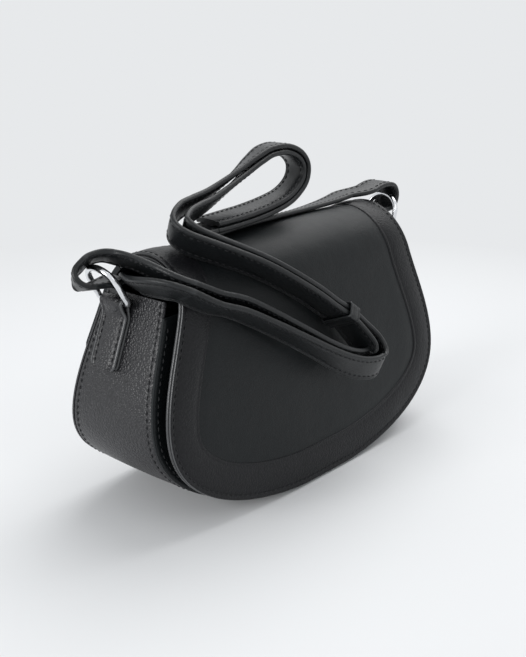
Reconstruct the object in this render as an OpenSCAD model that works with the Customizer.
// Saddle handbag with a flap, two ring tabs and a doubled shoulder strap.
// Front faces -Y, width lies along X, height along Z. The origin is the centre of the flat base.

/* [Body] */
// Greatest width of the bag
body_w = 250; // [230:1:270]
// Depth of the bag at its base
base_depth = 87; // [80:1:96]
// Draw-in of the front and back planes, per unit of height
taper_share = 0.145; // [0.13:0.005:0.155]
// Height at which the outline is widest
belly_h = 60; // [52:1:68]
// Draw-in of each side between the belly and the top
top_draw = 24; // [20:1:28]
// Height over the centre of the flap's top curve at which the sides stop drawing in
top_room = 32; // [28:1:36]
// Thickness of the body leather
leather_t = 2; // [1.6:0.1:2.4]
// Thickness of the stiffening boards
board_t = 1; // [0.8:0.1:1.4]
// Thickness of the lining
lining_t = 0.8; // [0.6:0.1:1.1]
// Height of the gusset's top edge
gusset_h = 126; // [122:1:128]
// Height of the front panel's top edge
front_h = 120; // [112:1:122]

/* [Flap] */
// Height of the centre of the flap's top curve
arch_h = 118; // [116:1:124]
// Room between the closed flap and the front panel
flap_clear = 7.2; // [6.6:0.1:9]
// Thickness of the flap's outer leather
skin_t = 2.2; // [1.8:0.1:2.6]
// Thickness of the flap's backing
backing_t = 1.8; // [1.6:0.1:2.2]
// Distance of the flap's edge inside the body outline
flap_inset = 1.5; // [1:0.1:3]
// Width of the pebbled border band
border_w = 21; // [16:1:26]
// Step down from the border to the smooth centre
panel_drop = 0.5; // [0.3:0.1:0.8]
// Place of the fold line on the top curve, from level at the back
fold_angle = 45; // [40:1:50]
// Height of the lower edge of the sewn-down back strip
yoke_h = 92; // [84:1:100]
// Thickness of the sewn-down back strip
yoke_t = 2.4; // [2:0.1:2.8]

/* [Magnetic snap] */
// Height of the snap on the front panel
snap_h = 36; // [30:1:44]
// Diameter of both snap halves
snap_d = 18; // [14:1:20]
// Thickness of the half on the body
socket_t = 3.4; // [3:0.1:3.6]
// Diameter of the nib on the flap's half
nib_d = 4.4; // [3.6:0.1:5]
// Thickness of the washers behind the leather
washer_t = 0.8; // [0.6:0.1:0.8]

/* [Rings and tabs] */
// Clear width inside a ring
ring_inner_w = 20; // [19:0.5:22]
// Diameter of the ring wire
ring_wire = 3.2; // [2.6:0.1:3.6]
// Height of a ring between its wire centres
ring_h = 24.1; // [22:0.1:28]
// Outward lean of the left ring
lean_left = 29; // [20:1:34]
// Outward lean of the right ring
lean_right = 18; // [8:1:30]
// Distance that the strap draws the right ring's bar outward
pull_out = 8; // [0:0.5:10]
// Distance that the strap draws the right ring's bar upward
pull_up = 3; // [0:0.5:3]
// Distance of the right tab in front of the left tab's place
pull_fore = 8; // [0:0.5:10]
// Height of the ring bars
bar_h = 124; // [122:1:126]
// Place of the tabs along the depth
tab_y = 8; // [6:0.5:9]
// Width of a tab
tab_w = 19; // [17:0.5:19]
// Height of a tab's lower end
tab_low_h = 88; // [80:1:96]
// Thickness of one layer of a tab
tab_layer_t = 1.75; // [1.4:0.05:2]
// Distance of a tab's loop from the gusset's plane
bar_room = 2.6; // [0.5:0.1:3.5]

/* [Strap] */
// Width of the strap
strap_w = 18; // [16:0.5:19]
// Thickness of one layer of the strap
strap_t = 3; // [2.4:0.1:3.4]
// Length of the keeper along the strap
keeper_len = 9; // [7:0.5:12]
// Thickness of the keeper's leather
keeper_t = 1.2; // [1:0.1:1.5]

/* [Inner pocket] */
// Length of the zip opening
zip_len = 110; // [90:1:120]
// Width of the zip opening
zip_w = 9; // [8:0.5:11]
// Distance of the zip below the back lining's top edge
zip_drop = 25; // [21:1:31]
// Width of the leather welt round the zip
welt_w = 6; // [5:0.5:8]
// Depth of the pocket pouch
pouch_h = 60; // [50:1:66]
// Thickness of the closed pouch
pouch_t = 2; // [1.8:0.1:2.4]

/* [Hidden] */

leather = "#26282a";
pebbled = "#303234";
board_grey = "#8a8378";
cloth = "#1c1d20";
steel = "#d0d2d4";

// Sides of a true round, and steps along the curves
$fn = 48;
low_steps = 14;
high_steps = 9;
arch_steps = 18;

// The outline's lower part is a superellipse of this power
round_power = 2.2;
// Depth of the flat that the bag stands on
base_flat = 0.6;
// Small gaps: running fit, fold line, plain clearance
fit_gap = 0.3;
fold_gap = 0.3;
clear = 0.2;
over = 1;

slope = atan(taper_share);
flap_t = skin_t + backing_t;
top_h = arch_h + top_room;

// Offsets of the flap's outer planes from the body's centre at the base, and the curve between
flap_front = base_depth / 2 + (flap_clear + flap_t) / cos(slope);
flap_back = base_depth / 2 + yoke_t / cos(slope);
arch_r = (flap_front + flap_back - 2 * taper_share * arch_h) / 2 * cos(slope);
arch_y = taper_share * arch_h - flap_front + arch_r / cos(slope);
hinge_y = arch_y + arch_r * cos(fold_angle);
hinge_z = arch_h + arch_r * sin(fold_angle);
prism_len = 2 * base_depth;
echo(fold_line = [hinge_y, hinge_z], arch = [arch_y, arch_r]);

// Outline of the bag, seen from the front

// Point and outward direction on the lower curve, a from 90 at the base to 0 at the belly
function low_point(a) =
    [body_w / 2 * pow(cos(a), 2 / round_power), belly_h * (1 - pow(sin(a), 2 / round_power))];
function low_normal(a) =
    let (c = pow(cos(a), 2 - 2 / round_power), s = pow(sin(a), 2 - 2 / round_power))
    [c / body_w * 2, -s / belly_h];
// Half width above the belly, and its outward direction
function ease(t) = t * t * (3 - 2 * t);
function high_share(z) = min(1, (z - belly_h) / (top_h - belly_h));
function high_half(z) = body_w / 2 - top_draw * ease(high_share(z));
function high_normal(z) =
    let (t = high_share(z)) [1, top_draw * 6 * t * (1 - t) / (top_h - belly_h)];
function unit(v) = v / norm(v);
// One side of the outline, moved inward by d, cut flat at the base
function low_side(d) = [for (i = [0:low_steps - 1])
    let (a = 90 * (1 - i / low_steps), p = low_point(a) - d * unit(low_normal(a)))
    [max(0, p[0]), max(p[1], base_flat + d) - base_flat]];
function high_side(d) = [for (i = [0:high_steps])
    let (z = belly_h + (top_h - belly_h) * i / high_steps,
         p = [high_half(z), z] - d * unit(high_normal(z)))
    [p[0], p[1] - base_flat]];
function side(d) = concat(low_side(d), high_side(d),
    [[body_w / 2 - top_draw - d, top_h + arch_r]]);
function outline(d) =
    let (s = side(d), n = len(s))
    concat(s, [for (i = [n - 1:-1:1]) [-s[i][0], s[i][1]]]);

// Solid with the outline, through the whole depth
module outline_prism(d) {
    rotate([90, 0, 0])
        linear_extrude(height = prism_len, center = true)
            polygon(outline(d));
}

// Solid with a side profile given as [y, z] points, through the whole width
module side_prism(points, width = 2 * body_w) {
    rotate([90, 0, 90])
        linear_extrude(height = width, center = true)
            polygon(points);
}

// Body panels: planes that draw in with height, d deep inside the front plane
function front_y(z, d) = d / cos(slope) + taper_share * z - base_depth / 2;
function slab(d0, d1, z0, z1) =
    [[front_y(z0, d0), z0], [front_y(z0, d1), z0], [front_y(z1, d1), z1], [front_y(z1, d0), z1]];
function wedge(d_front, d_back, z0, z1) =
    [[front_y(z0, d_front), z0], [-front_y(z0, d_back), z0],
     [-front_y(z1, d_back), z1], [front_y(z1, d_front), z1]];
module at_back() {
    mirror([0, 1, 0]) children();
}
module plate(inset, d0, d1, z1) {
    intersection() {
        outline_prism(inset);
        side_prism(slab(d0, d1, -over, z1));
    }
}

// Depths of the layers inside the front and back planes
board_in = leather_t + board_t;
front_in = board_in + lining_t;
pouch_in = board_in + pouch_t;
back_in = pouch_in + lining_t;
back_h = arch_h - over;
lining_h = gusset_h - 2 * leather_t;
zip_h = back_h - leather_t - zip_drop;

module back_panel() {
    color(leather) at_back() plate(0, 0, leather_t, back_h);
}
module front_panel() {
    color(leather) plate(0, 0, leather_t, front_h);
}
module gusset() {
    color(pebbled) difference() {
        intersection() {
            outline_prism(0);
            side_prism(wedge(leather_t, leather_t, -over, gusset_h));
        }
        outline_prism(leather_t);
    }
}
module snap_place(d) {
    translate([0, front_y(snap_h, d), snap_h])
        rotate([90 - slope, 0, 0])
            children();
}
module front_board() {
    color(board_grey) difference() {
        plate(leather_t + clear, leather_t, board_in, front_h - leather_t);
        snap_place(board_in + over) cylinder(h = board_t + 2 * over, d = snap_d - washer_t);
    }
}
module socket_washer() {
    color(steel) snap_place(leather_t + washer_t)
        cylinder(h = washer_t, d = snap_d - washer_t - 2 * clear);
}
module magnet_socket() {
    bore_d = nib_d + 2 * over + clear;
    color(steel) snap_place(0) difference() {
        cylinder(h = socket_t, d = snap_d);
        translate([0, 0, socket_t / 2]) cylinder(h = socket_t, d = bore_d);
    }
}
module back_board() {
    color(board_grey) at_back()
        plate(leather_t + clear, leather_t, board_in, back_h - leather_t);
}
module front_lining() {
    color(cloth) plate(leather_t + lining_t, board_in, front_in, front_h - leather_t);
}
// The zip opening through the back lining, grown by g on every side
module zip_window(g, d0, d1) {
    intersection() {
        at_back() side_prism(slab(d0, d1, zip_h - zip_w / 2 - g, zip_h + zip_w / 2 + g),
            zip_len + 2 * g);
        outline_prism(0);
    }
}
module back_lining() {
    color(cloth) difference() {
        at_back() plate(leather_t + lining_t, pouch_in, back_in, back_h - leather_t);
        zip_window(0, pouch_in - over, back_in + over);
    }
}
module gusset_lining() {
    color(cloth) difference() {
        intersection() {
            outline_prism(leather_t);
            side_prism(wedge(board_in, board_in, 0, lining_h));
        }
        outline_prism(leather_t + lining_t);
    }
}

// Zip pocket in the back lining
module pocket_pouch() {
    wall = pouch_t / 3;
    w = zip_len + 2 * welt_w;
    z1 = zip_h + zip_w / 2 + welt_w / 2;
    color(cloth) difference() {
        at_back() side_prism(slab(board_in, pouch_in, z1 - pouch_h, z1), w);
        at_back() side_prism(slab(board_in + wall, pouch_in - wall, z1 - pouch_h + wall,
            z1 - wall), w - 2 * wall);
        zip_window(0, pouch_in - wall - clear, pouch_in + over);
    }
}
module pocket_welt() {
    color(leather) difference() {
        zip_window(welt_w, back_in, back_in + lining_t);
        zip_window(0, back_in - over, back_in + lining_t + over);
    }
}
// Two tapes in the window with a row of teeth standing on them
tooth_pitch = 3.2;
tooth_h = 1;
chain_w = 4;
module zip_chain() {
    count = floor((zip_len - 2 * tooth_pitch) / tooth_pitch);
    color(cloth) zip_window(0, pouch_in, back_in);
    color(steel) for (i = [0:count])
        translate([(i - count / 2) * tooth_pitch, -front_y(zip_h, back_in), zip_h])
            rotate([slope, 0, 0])
                translate([-tooth_pitch / 4, -tooth_h, -chain_w / 2])
                    cube([tooth_pitch / 2, tooth_h, chain_w]);
}
slider_len = 9;
slider_w = 7.4;
slider_t = 1.2;
bail_d = 1.6;
zip_start = -zip_len / 2 + slider_len;
// Frame on the zip: Y outward from the lining, Z up along it
module zip_place() {
    translate([zip_start, -front_y(zip_h, back_in), zip_h])
        rotate([slope, 0, 0])
            mirror([0, 1, 0])
                children();
}
// Saddle over the teeth with two lugs that hold the puller's pin
module zip_slider() {
    roof = tooth_h + fit_gap;
    lug = bail_d + 2 * fit_gap;
    color(steel) zip_place() {
        difference() {
            translate([-slider_len / 2, clear, -slider_w / 2])
                cube([slider_len, roof + slider_t, slider_w]);
            translate([-slider_len, 0, -chain_w / 2 - fit_gap])
                cube([2 * slider_len, roof, chain_w + 2 * fit_gap]);
        }
        for (s = [-1, 1])
            translate([-lug, roof + slider_t, s * (slider_w - slider_t) / 2 - slider_t / 2])
                cube([2 * lug, 2 * lug, slider_t]);
        translate([0, roof + slider_t + lug, -slider_w / 2])
            cylinder(h = slider_w, d = bail_d);
    }
}
puller_len = 22;
pin_in = tooth_h + fit_gap + slider_t + bail_d + 2 * fit_gap;
echo(pin = [zip_start, -front_y(zip_h, back_in) - pin_in * cos(slope), zip_h - pin_in * sin(slope)]);
module zip_puller() {
    roof = tooth_h + fit_gap;
    lug = bail_d + 2 * fit_gap;
    eye_d = bail_d + 2 * fit_gap;
    eye_w = slider_w - 2 * slider_t - 2 * fit_gap;
    color(steel) zip_place()
        translate([0, roof + slider_t + lug, -eye_w / 2])
            difference() {
                union() {
                    cylinder(h = eye_w, d = eye_d + 2 * bail_d / 2);
                    translate([0, -bail_d / 2, 0]) cube([puller_len, bail_d, eye_w]);
                }
                translate([0, 0, -over]) cylinder(h = eye_w + 2 * over, d = eye_d);
            }
}

// Side profile of the flap: v runs 0 to 1 up the front plane, then 1 to 2 round the curve
arc_from = 180 - slope;
arc_span = 180 - 2 * slope;
tangent_z = arch_h + arch_r * sin(slope);
function profile_angle(v) = arc_from - max(0, v - 1) * arc_span;
function profile_normal(v) = [cos(profile_angle(v)), sin(profile_angle(v))];
function profile(v, d = 0) =
    let (n = profile_normal(v), p = [arch_y, arch_h] + (arch_r - d) * n)
    p - (1 - min(1, v)) * tangent_z * [taper_share, 1];
v_fold = 1 + (arc_from - fold_angle) / arc_span;
v_gap = fold_gap / arch_r * 180 / PI / arc_span;
v_low = -over / tangent_z;
function arc(d, v0, v1, steps) = [for (i = [0:steps]) profile(v0 + (v1 - v0) * i / steps, d)];
function reversed(list) = [for (i = [len(list) - 1:-1:0]) list[i]];
function flap_band(d0, d1) =
    concat([profile(v_low, d0)], arc(d0, 1, v_fold - v_gap, arch_steps),
        reversed(arc(d1, 1, v_fold - v_gap, arch_steps)), [profile(v_low, d1)]);
module flap_layer(d0, d1, inset) {
    intersection() {
        side_prism(flap_band(d0, d1));
        outline_prism(inset);
    }
}
module flap_border() {
    color(pebbled) difference() {
        flap_layer(0, skin_t, flap_inset);
        outline_prism(flap_inset + border_w);
    }
}
module flap_panel() {
    color(leather) flap_layer(panel_drop, skin_t, flap_inset + border_w);
}
stud_d = snap_d - washer_t;
module flap_backing() {
    color(cloth) difference() {
        flap_layer(skin_t, flap_t, flap_inset);
        snap_place(-flap_clear - flap_t + skin_t + washer_t)
            cylinder(h = 2 * washer_t, d = stud_d);
    }
}
module stud_washer() {
    color(steel) snap_place(-flap_clear - flap_t + skin_t + washer_t)
        cylinder(h = washer_t, d = stud_d - 2 * clear);
}
// The flap's half of the snap hangs from the backing and its nib drops into the other half
module magnet_stud() {
    nib_len = socket_t / 3;
    color(steel) {
        snap_place(-socket_t - fit_gap)
            cylinder(h = flap_clear - socket_t - fit_gap, d = snap_d);
        snap_place(-socket_t - fit_gap + nib_len)
            cylinder(h = nib_len, d = nib_d);
    }
}
// Strip of the flap leather that is sewn down on the back and stands up to the fold line
function back_line(z, d) = [flap_back - d / cos(slope) - taper_share * z, z];
module back_yoke() {
    steps = arch_steps / 2;
    points = concat(arc(0, v_fold + v_gap, 2, steps),
        [back_line(yoke_h, 0), back_line(yoke_h, yoke_t), back_line(back_h, yoke_t),
         back_line(back_h, flap_t)],
        reversed(arc(flap_t, v_fold + v_gap, 2, steps)));
    color(leather) intersection() {
        side_prism(points);
        outline_prism(flap_inset);
    }
}

// Ring tabs, drawn for the right side: a strip doubled over the ring's bar
loop_in = ring_wire / 2 + fit_gap;
loop_out = loop_in + tab_layer_t;
tab_t = 2 * tab_layer_t;
bar_x = high_half(bar_h + base_flat) + loop_out + bar_room;
tab_round = 3;
neck_h = bar_h - 4 * tab_t;
function bar_place(pull) = 
    [bar_x + pull * pull_out, tab_y - pull * pull_fore, bar_h + pull * pull_up];
module tab_profile(pull) {
    bar = bar_place(pull);
    skin = high_half(neck_h + base_flat);
    difference() {
        union() {
            intersection() {
                polygon(outline(-tab_t));
                translate([0, tab_low_h]) square([body_w, neck_h - tab_low_h]);
            }
            polygon([[skin - tab_t, neck_h - over], [skin + tab_t, neck_h - over],
                [bar[0] + loop_out, bar[2]], [bar[0] - loop_out, bar[2]]]);
            translate([bar[0], bar[2]]) circle(loop_out);
        }
        polygon(outline(0));
        translate([bar[0], bar[2]]) circle(loop_in);
    }
}
module tab_face() {
    top = bar_h + pull_up + 2 * loop_out;
    translate([-tab_w / 2, tab_low_h + tab_round]) square([tab_w, top - tab_low_h - tab_round]);
    translate([tab_round - tab_w / 2, tab_low_h]) square([tab_w - 2 * tab_round, 2 * tab_round]);
    for (s = [-1, 1])
        translate([s * (tab_w / 2 - tab_round), tab_low_h + tab_round]) circle(tab_round);
}
module tab(pull) {
    translate([0, bar_place(pull)[1], 0]) intersection() {
        rotate([90, 0, 0]) linear_extrude(height = tab_w, center = true) tab_profile(pull);
        rotate([90, 0, 90]) linear_extrude(height = 2 * body_w) tab_face();
    }
}
echo(left_bar = bar_place(0), right_bar = bar_place(1));
module tab_left() {
    color(pebbled) mirror([1, 0, 0]) tab(0);
}
module tab_right() {
    color(pebbled) tab(1);
}

// D-rings: a bar through the tab, two legs and a half-round top, leaning outward
ring_r = (ring_inner_w + ring_wire) / 2;
ring_bend = 2.4;
module wire_bend(r, angle) {
    rotate([90, 0, 90]) rotate_extrude(angle = angle) translate([r, 0]) circle(d = ring_wire);
}
module ring() {
    leg_top = ring_h - ring_r;
    translate([0, ring_bend - ring_r, 0]) rotate([-90, 0, 0])
        cylinder(h = 2 * (ring_r - ring_bend), d = ring_wire);
    for (s = [0, 1]) mirror([0, s, 0]) {
        translate([0, ring_r, ring_bend]) cylinder(h = leg_top - ring_bend, d = ring_wire);
        translate([0, ring_r - ring_bend, ring_bend]) rotate([-90, 0, 0])
            wire_bend(ring_bend, 90);
    }
    translate([0, 0, leg_top]) wire_bend(ring_r, 180);
}
module ring_left() {
    color(steel) mirror([1, 0, 0]) translate(bar_place(0)) rotate([0, lean_left, 0]) ring();
}
module ring_right() {
    color(steel) translate(bar_place(1)) rotate([0, lean_right, 0]) ring();
}

// The strap. Each row is one place along its middle: share of the half width across, place v on
// the flap's profile, lift off it as a share of the strap's width, the direction of its near
// edge, and the gap between its two layers as a share of one layer's thickness.
strap_shares = [
    [-0.850, 1.125, 0.52, -0.10, -0.88, 0.47, 0.60],
    [-0.730, 1.050, 0.53, 0.00, -0.91, 0.42, 1.00],
    [-0.589, 0.991, 0.60, 0.02, -0.92, 0.38, 1.10],
    [-0.429, 0.895, 0.71, 0.04, -0.92, 0.38, 0.85],
    [-0.265, 0.786, 0.85, 0.06, -0.91, 0.41, 0.55],
    [-0.122, 0.686, 0.98, 0.09, -0.86, 0.50, 0.35],
    [0.005, 0.605, 1.06, 0.08, -0.70, 0.70, 0.60],
    [0.130, 0.550, 1.09, 0.00, -0.48, 0.87, 1.40],
    [0.235, 0.540, 1.04, -0.10, -0.40, 0.91, 2.20],
    [0.245, 0.605, 0.89, -0.04, -0.60, 0.80, 2.00],
    [0.188, 0.697, 0.72, 0.08, -0.82, 0.56, 0.90],
    [0.108, 0.784, 0.66, 0.08, -0.90, 0.42, 0.30],
    [-0.007, 0.868, 0.65, 0.10, -0.92, 0.37, 0.20],
    [-0.122, 0.953, 0.64, 0.12, -0.92, 0.38, 0.20],
    [-0.271, 1.052, 0.60, 0.09, -0.89, 0.44, 0.20],
    [-0.400, 1.142, 0.56, 0.04, -0.85, 0.53, 0.20],
    [-0.510, 1.219, 0.54, -0.03, -0.79, 0.61, 0.30],
    [-0.605, 1.293, 0.55, -0.12, -0.70, 0.70, 0.50],
    [-0.665, 1.360, 0.60, -0.25, -0.58, 0.77, 1.00],
    [-0.680, 1.418, 0.74, -0.30, -0.54, 0.79, 1.50],
    [-0.622, 1.460, 0.92, -0.30, -0.60, 0.74, 1.30],
    [-0.538, 1.482, 1.05, -0.33, -0.68, 0.65, 0.90],
    [-0.413, 1.495, 1.24, -0.35, -0.76, 0.55, 0.70],
    [-0.206, 1.505, 1.76, -0.38, -0.85, 0.38, 0.35],
    [-0.091, 1.508, 2.14, -0.33, -0.92, 0.20, 0.25],
    [-0.005, 1.509, 2.37, -0.27, -0.96, 0.10, 0.25],
    [0.095, 1.510, 2.40, -0.20, -0.98, 0.05, 0.25],
    [0.185, 1.511, 2.18, -0.19, -0.98, 0.04, 0.25],
    [0.236, 1.512, 1.81, -0.19, -0.98, 0.02, 0.25],
    [0.236, 1.513, 1.40, -0.20, -0.98, 0.00, 0.25],
    [0.192, 1.511, 1.06, -0.22, -0.98, 0.00, 0.25],
    [0.105, 1.507, 0.77, -0.25, -0.97, -0.05, 0.25],
    [-0.026, 1.499, 0.60, -0.28, -0.95, -0.08, 0.25],
    [-0.170, 1.490, 0.51, -0.27, -0.95, -0.08, 0.25],
    [-0.290, 1.482, 0.48, -0.22, -0.97, -0.08, 0.25],
    [-0.385, 1.478, 0.46, -0.20, -0.97, -0.06, 0.25],
    [-0.440, 1.476, 0.455, -0.18, -0.98, -0.04, 0.25]];
// The inner layer goes on alone: it turns under the fall and runs along the top to the right.
// Its first place is the end of that layer.
last_row = strap_shares[len(strap_shares) - 1];
layer_share = strap_t * (1 + last_row[6]) / 2 / strap_w;
tail_shares = [
    [last_row[0] - 0.002, last_row[1], last_row[2] - layer_share, last_row[3], last_row[4], last_row[5], 0],
    [-0.520, 1.475, 0.335, -0.14, -0.98, -0.04, 0],
    [-0.555, 1.483, 0.23, -0.06, -1.00, 0.00, 0],
    [-0.515, 1.495, 0.130, -0.02, -1.00, 0.02, 0],
    [-0.400, 1.525, 0.115, 0.00, -0.99, 0.12, 0],
    [-0.180, 1.570, 0.115, 0.00, -0.97, 0.22, 0],
    [0.080, 1.600, 0.115, 0.00, -0.96, 0.28, 0],
    [0.340, 1.610, 0.118, 0.00, -0.96, 0.28, 0],
    [0.560, 1.610, 0.190, 0.00, -0.97, 0.25, 0],
    [0.700, 1.620, 0.300, 0.00, -0.99, 0.15, 0]];

// Smooth value between the middle two of four rows
function blend4(a, b, c, d, t) =
    (2 * b + (c - a) * t + (2 * a - 5 * b + 4 * c - d) * t * t
        + (3 * b - a - 3 * c + d) * t * t * t) / 2;
function row_at(rows, u) =
    let (n = len(rows), i = max(0, min(floor(u), n - 2)))
    blend4(rows[max(i - 1, 0)], rows[i], rows[i + 1], rows[min(i + 2, n - 1)], u - i);
function spot(row) =
    let (q = profile(row[1]) + row[2] * strap_w * profile_normal(row[1]))
    [row[0] * body_w / 2, q[0], q[1]];
nudge_share = 0.05;
function along(rows, u) = unit(spot(row_at(rows, u + nudge_share)) - spot(row_at(rows, u - nudge_share)));
function edge_way(row) = [row[3], row[4], row[5]];
function face_way(rows, u) = unit(cross(along(rows, u), edge_way(row_at(rows, u))));
// Corners of one layer's section; face -1 or 1 picks a layer, 0 the middle
function section(rows, u, face) =
    let (row = row_at(rows, u), m = face_way(rows, u), w = cross(m, along(rows, u)),
         c = spot(row) + face * strap_t * (1 + row[6]) / 2 * m)
    [for (k = [[-1, -1], [-1, 1], [1, 1], [1, -1]])
        c + k[0] * strap_t / 2 * m + k[1] * strap_w / 2 * w];
// A layer of the strap from place u0 to place u1
module ribbon(rows, u0, u1, face, steps) {
    rings = [for (i = [0:steps]) section(rows, u0 + (u1 - u0) * i / steps, face)];
    sweep(rings);
}
module sweep(rings) {
    n = len(rings);
    points = [for (r = rings) for (p = r) p];
    walls = [for (i = [0:n - 2]) for (k = [0:3])
        let (a = 4 * i + k, b = 4 * i + (k + 1) % 4) for (f = [[a, a + 4, b], [b, a + 4, b + 4]]) f];
    last = 4 * (n - 1);
    ends = [[0, 1, 2], [0, 2, 3], [last, last + 2, last + 1], [last, last + 3, last + 2]];
    polyhedron(points, concat(walls, ends));
}
module both_layers(u0, u1, steps) {
    for (face = [-1, 1]) ribbon(strap_shares, u0, u1, face, steps);
}

// Places along the rows where the strap's sections meet
lead_step = 0;
fold_step = 6;
return_step = 10;
turn_step = 16;
rise_step = 21;
top_step = 24.5;
fall_step = 30;
end_step = 36;
tail_end_step = 9;
module strap_front() {
    color(leather) both_layers(lead_step, fold_step, 14);
}
module strap_fold() {
    color(leather) both_layers(fold_step, return_step, 16);
}
module strap_return() {
    color(leather) both_layers(return_step, turn_step, 14);
}
module strap_turn() {
    color(leather) both_layers(turn_step, rise_step, 14);
}
module strap_rise() {
    color(leather) both_layers(rise_step, top_step, 7);
}
module strap_top() {
    color(leather) both_layers(top_step, fall_step, 16);
}
module strap_fall() {
    color(leather) both_layers(fall_step, end_step, 12);
}
module strap_tail() {
    color(leather) ribbon(tail_shares, 0, tail_end_step, 0, 27);
}

// Leather loops round the rings. Each row is one place along the middle, in shares of the
// strap's width from the ring's top wire centre, and the direction of the near edge.
left_loop_shares = [
    [0.522, -0.283, 0.263, -0.39, -0.75, 0.53],
    [0.307, -0.026, 0.331, -0.42, -0.75, 0.49],
    [0.086, 0.103, 0.306, -0.48, -0.73, 0.51],
    [-0.220, 0.172, 0.232, -0.52, -0.70, 0.47],
    [-0.451, 0.152, 0.102, -0.50, -0.69, 0.50],
    [-0.674, 0.184, -0.047, -0.56, -0.74, 0.45],
    [-0.700, 0.082, -0.269, -0.54, -0.77, 0.45],
    [-0.594, -0.007, -0.449, -0.39, -0.84, 0.42],
    [-0.358, -0.059, -0.523, -0.29, -0.95, 0.28],
    [0.020, -0.017, -0.524, -0.14, -0.98, 0.17],
    [0.340, 0.000, -0.520, -0.05, -0.99, 0.08],
    [0.600, 0.000, -0.480, 0.00, -1.00, 0.05]];
right_loop_shares = [
    [-1.15, 0.00, 0.28, 0.00, -1.00, 0.00],
    [-0.70, 0.00, 0.36, 0.00, -1.00, 0.00],
    [-0.25, 0.00, 0.34, 0.00, -1.00, 0.00],
    [0.06, 0.00, 0.25, 0.00, -1.00, 0.00],
    [0.22, 0.00, 0.04, 0.00, -1.00, 0.00],
    [0.20, 0.00, -0.22, 0.00, -1.00, 0.00],
    [0.00, 0.00, -0.44, 0.00, -1.00, 0.00],
    [-0.35, 0.00, -0.50, 0.00, -1.00, 0.00],
    [-0.75, 0.00, -0.46, 0.00, -1.00, 0.00],
    [-1.08, 0.00, -0.40, 0.00, -1.00, 0.00]];
function loop_point(list, top, u) =
    let (r = row_at(list, u)) top + strap_w * [r[0], r[1], r[2]];
function loop_way(list, top, u) =
    unit(loop_point(list, top, u + nudge_share) - loop_point(list, top, u - nudge_share));
function loop_edge(list, u) = let (r = row_at(list, u)) [r[3], r[4], r[5]];
function corners(c, t, edge) =
    let (m = unit(cross(t, edge)), w = cross(m, t))
    [for (k = [[-1, -1], [-1, 1], [1, 1], [1, -1]])
        c + k[0] * strap_t / 2 * m + k[1] * strap_w / 2 * w];
module loop(list, top, steps) {
    last = len(list) - 1;
    sweep([for (i = [0:steps]) let (u = last * i / steps)
        corners(loop_point(list, top, u), loop_way(list, top, u), loop_edge(list, u))]);
}
left_top = let (b = bar_place(0))
    [-b[0] - ring_h * sin(lean_left), b[1], b[2] + ring_h * cos(lean_left)];
right_top = let (b = bar_place(1))
    [b[0] + ring_h * sin(lean_right), b[1], b[2] + ring_h * cos(lean_right)];
module strap_loop_left() {
    color(leather) loop(left_loop_shares, left_top, 33);
}
module strap_loop_right() {
    color(leather) loop(right_loop_shares, right_top, 27);
}

// Leads: smooth stretches between a loop's free end and the strap, from p0 to p1. The vectors
// t0 and t1 are the ends' directions, each times its pull, and w_mid turns the near edge midway.
function bow(p0, t0, p1, t1, s) =
    let (l = norm(p1 - p0))
    (2 * s * s * s - 3 * s * s + 1) * p0 + (s * s * s - 2 * s * s + s) * l * t0
        + (3 * s * s - 2 * s * s * s) * p1 + (s * s * s - s * s) * l * t1;
function bow_way(p0, t0, p1, t1, s) =
    unit(bow(p0, t0, p1, t1, s + nudge_share / 10) - bow(p0, t0, p1, t1, s - nudge_share / 10));
module lead(p0, t0, w0, p1, t1, w1, w_mid, steps) {
    sweep([for (i = [0:steps]) let (s = i / steps)
        corners(bow(p0, t0, p1, t1, s), bow_way(p0, t0, p1, t1, s),
            (1 - s) * w0 + s * w1 + 4 * s * (1 - s) * w_mid)]);
}
function layer_point(rows, u, face) =
    let (row = row_at(rows, u))
    spot(row) + face * strap_t * (1 + row[6]) / 2 * face_way(rows, u);
// Each layer's pulls at its two ends and the turn of its near edge midway
upper_pull_shares = [0.93, 1.21];
upper_turn_shares = [-0.15, 0.14, -0.17];
lower_pull_shares = [1.14, 1.29];
lower_turn_shares = [-0.16, 0.36, -0.13];
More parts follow.
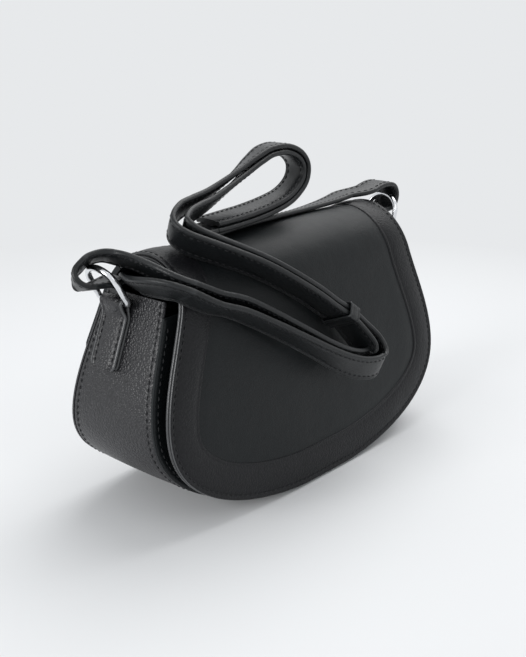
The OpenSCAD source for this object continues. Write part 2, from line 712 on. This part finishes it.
// The lower layer is creased at the loop's end and goes on beside it: place from the ring's top,
// direction, and direction of the near edge
crease_shares = [0.706, -0.771, -0.47];
crease_way_shares = [-0.52, -1, 0.05];
crease_edge_shares = [-0.75, 0.97, 1];
module strap_lead_left() {
    t0 = loop_way(left_loop_shares, left_top, 0);
    t1 = along(strap_shares, lead_step);
    w1 = edge_way(row_at(strap_shares, lead_step));
    color(leather) {
        lead(loop_point(left_loop_shares, left_top, 0) - fit_gap * t0, -upper_pull_shares[0] * t0,
            loop_edge(left_loop_shares, 0),
            layer_point(strap_shares, lead_step, -1) - fit_gap * t1, upper_pull_shares[1] * t1, w1,
            upper_turn_shares, 12);
        lead(left_top + strap_w * crease_shares, lower_pull_shares[0] * unit(crease_way_shares),
            unit(crease_edge_shares),
            layer_point(strap_shares, lead_step, 1) - fit_gap * t1, lower_pull_shares[1] * t1, w1,
            lower_turn_shares, 12);
    }
}
module strap_lead_right() {
    color(leather) lead(layer_point(tail_shares, tail_end_step, 0), along(tail_shares, tail_end_step),
        edge_way(row_at(tail_shares, tail_end_step)), loop_point(right_loop_shares, right_top, 0),
        loop_way(right_loop_shares, right_top, 0), loop_edge(right_loop_shares, 0), [0, 0, 0], 8);
}

// Keeper: a small leather band round both layers
keeper_step = 11.2;
module strap_keeper() {
    t = along(strap_shares, keeper_step);
    m = face_way(strap_shares, keeper_step);
    w = cross(m, t);
    c = spot(row_at(strap_shares, keeper_step));
    gap = strap_t * row_at(strap_shares, keeper_step)[6];
    in_m = 2 * strap_t + gap + 4 * fit_gap;
    in_w = strap_w + 4 * fit_gap;
    color(pebbled)
        multmatrix([[t[0], m[0], w[0], c[0]], [t[1], m[1], w[1], c[1]], [t[2], m[2], w[2], c[2]]])
            difference() {
                cube([keeper_len, in_m + 2 * keeper_t, in_w + 2 * keeper_t], center = true);
                cube([2 * keeper_len, in_m, in_w], center = true);
            }
}
echo(keeper = spot(row_at(strap_shares, keeper_step)), along = along(strap_shares, keeper_step));

back_panel();
front_panel();
gusset();
back_yoke();
front_board();
back_board();
front_lining();
back_lining();
gusset_lining();
pocket_pouch();
pocket_welt();
zip_chain();
zip_slider();
zip_puller();
magnet_socket();
socket_washer();
tab_left();
tab_right();
ring_left();
ring_right();
flap_panel();
flap_border();
flap_backing();
magnet_stud();
stud_washer();
strap_loop_left();
strap_lead_left();
strap_front();
strap_fold();
strap_return();
strap_turn();
strap_rise();
strap_top();
strap_fall();
strap_tail();
strap_lead_right();
strap_loop_right();
strap_keeper();
